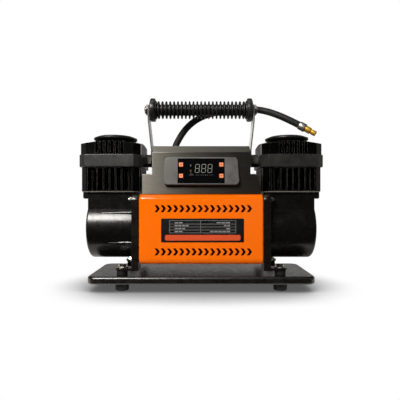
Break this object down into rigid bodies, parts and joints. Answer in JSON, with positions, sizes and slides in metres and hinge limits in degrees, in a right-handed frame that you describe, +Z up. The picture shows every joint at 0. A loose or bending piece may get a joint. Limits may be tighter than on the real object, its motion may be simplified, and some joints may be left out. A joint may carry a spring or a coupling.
{
  "type": "twin stack air compressor",
  "caption": "Portable twin-cylinder air compressor: motor between two finned heads on a steel tray, with a digital display, folding handle and air hose.",
  "frame": {"origin": "on the floor under the middle of the base tray, which is the middle of the whole object in plan", "axes": "+X to the right along the motor shaft, +Y to the back, +Z up; the display and the front cover face -Y"},
  "size_m": [0.339, 0.11, 0.2738],
  "materials": {
    "black_powder": "semi-gloss powder coat",
    "black_gloss": "gloss black paint on cast aluminium",
    "black_satin": "satin black paint on cast aluminium",
    "plate_black": "semi-gloss black powder coat on cast aluminium",
    "band_grey": "satin dark grey paint on cast aluminium",
    "orange_paint": "semi-gloss orange paint",
    "housing_grey": "satin gunmetal paint",
    "bezel_grey": "satin moulded plastic",
    "display_black": "gloss black window",
    "button_orange": "moulded silicone-look plastic",
    "board_green": "solder mask",
    "label_black": "printed label",
    "rubber_black": "moulded rubber",
    "grip_rubber": "ribbed rubber grip",
    "zinc_steel": "bright zinc plate",
    "chrome_steel": "chrome plate",
    "arm_steel": "plated flat strip",
    "machined_steel": "turned steel",
    "core_steel": "laminated steel",
    "ferrite": null,
    "copper": null,
    "carbon": "carbon brush",
    "black_plastic": "moulded plastic",
    "nylon": "natural nylon",
    "ptfe": "filled PTFE",
    "gasket": "pressed fibre sheet",
    "raw_aluminium": "machined",
    "brass": "turned brass"
  },
  "bodies": {
    "root": {"base_tray": "black_powder", "rubber_feet": "rubber_black", "isolators": "rubber_black", "mount_bolts": "zinc_steel", "end_plate_left": "plate_black", "end_plate_right": "plate_black", "tie_rods": "zinc_steel", "front_cover": "orange_paint", "rear_cover": "black_powder", "rating_plate": "label_black", "power_socket": "black_plastic", "motor_case": "black_powder", "field_magnets": "ferrite", "shaft_bearings": "machined_steel", "carbon_brushes": "carbon", "brush_holder": "black_plastic", "crankcase_left": "black_gloss", "crankcase_right": "black_gloss", "crankcase_covers": "black_gloss", "cover_screws": "zinc_steel", "cylinder_liners": "machined_steel", "base_gaskets": "gasket", "cylinder_barrel_left": "black_satin", "cylinder_barrel_right": "black_satin", "head_block_left": "band_grey", "head_block_right": "band_grey", "valve_plates": "machined_steel", "head_crown_left": "black_satin", "head_crown_right": "black_satin", "intake_cap_left": "black_plastic", "intake_cap_right": "black_plastic", "control_housing": "housing_grey", "display_bezel": "bezel_grey", "display_glass": "display_black", "control_board": "board_green", "outlet_pipes": "chrome_steel", "pivot_bushes": "nylon", "manifold_block": "raw_aluminium", "air_hose": "rubber_black", "hose_fittings": "zinc_steel", "quick_plug": "brass"},
    "rotor": {"motor_shaft": "machined_steel", "armature_core": "core_steel", "armature_windings": "copper", "commutator": "copper", "cooling_fan": "black_plastic", "crank_left": "machined_steel", "crank_right": "machined_steel"},
    "piston_left": {"piston_rod_left": "raw_aluminium", "cup_seal_left": "ptfe"},
    "piston_right": {"piston_rod_right": "raw_aluminium", "cup_seal_right": "ptfe"},
    "handle": {"handle_grip": "grip_rubber", "handle_rod": "chrome_steel", "handle_arm_left": "arm_steel", "handle_arm_right": "arm_steel"},
    "upper_left_button": {"button_upper_left": "button_orange"},
    "lower_left_button": {"button_lower_left": "button_orange"},
    "upper_right_button": {"button_upper_right": "button_orange"},
    "lower_right_button": {"button_lower_right": "button_orange"}
  },
  "joints": [
    {"name": "rotor_spin", "type": "hinge", "parent": "root", "child": "rotor", "pos_m": [0, 0, 0.084], "axis": [1, 0, 0], "continuous": true},
    {"name": "piston_left_stroke", "type": "slide", "parent": "root", "child": "piston_left", "axis": [0, 0, 1], "range_m": [-0.016, 0]},
    {"name": "piston_right_stroke", "type": "slide", "parent": "root", "child": "piston_right", "axis": [0, 0, 1], "range_m": [0, 0.016]},
    {"name": "handle_fold", "type": "hinge", "parent": "root", "child": "handle", "pos_m": [0, 0, 0.1815], "axis": [1, 0, 0], "range_deg": [0, 90]},
    {"name": "upper_left_press", "type": "slide", "parent": "root", "child": "upper_left_button", "axis": [0, 0.9969, -0.0785], "range_m": [0, 0.0008]},
    {"name": "lower_left_press", "type": "slide", "parent": "root", "child": "lower_left_button", "axis": [0, 0.9969, -0.0785], "range_m": [0, 0.0008]},
    {"name": "upper_right_press", "type": "slide", "parent": "root", "child": "upper_right_button", "axis": [0, 0.9969, -0.0785], "range_m": [0, 0.0008]},
    {"name": "lower_right_press", "type": "slide", "parent": "root", "child": "lower_right_button", "axis": [0, 0.9969, -0.0785], "range_m": [0, 0.0008]}
  ],
  "couplings": [
    {"joint": "piston_right_stroke", "follows": "piston_left_stroke", "ratio": -1}
  ]
}
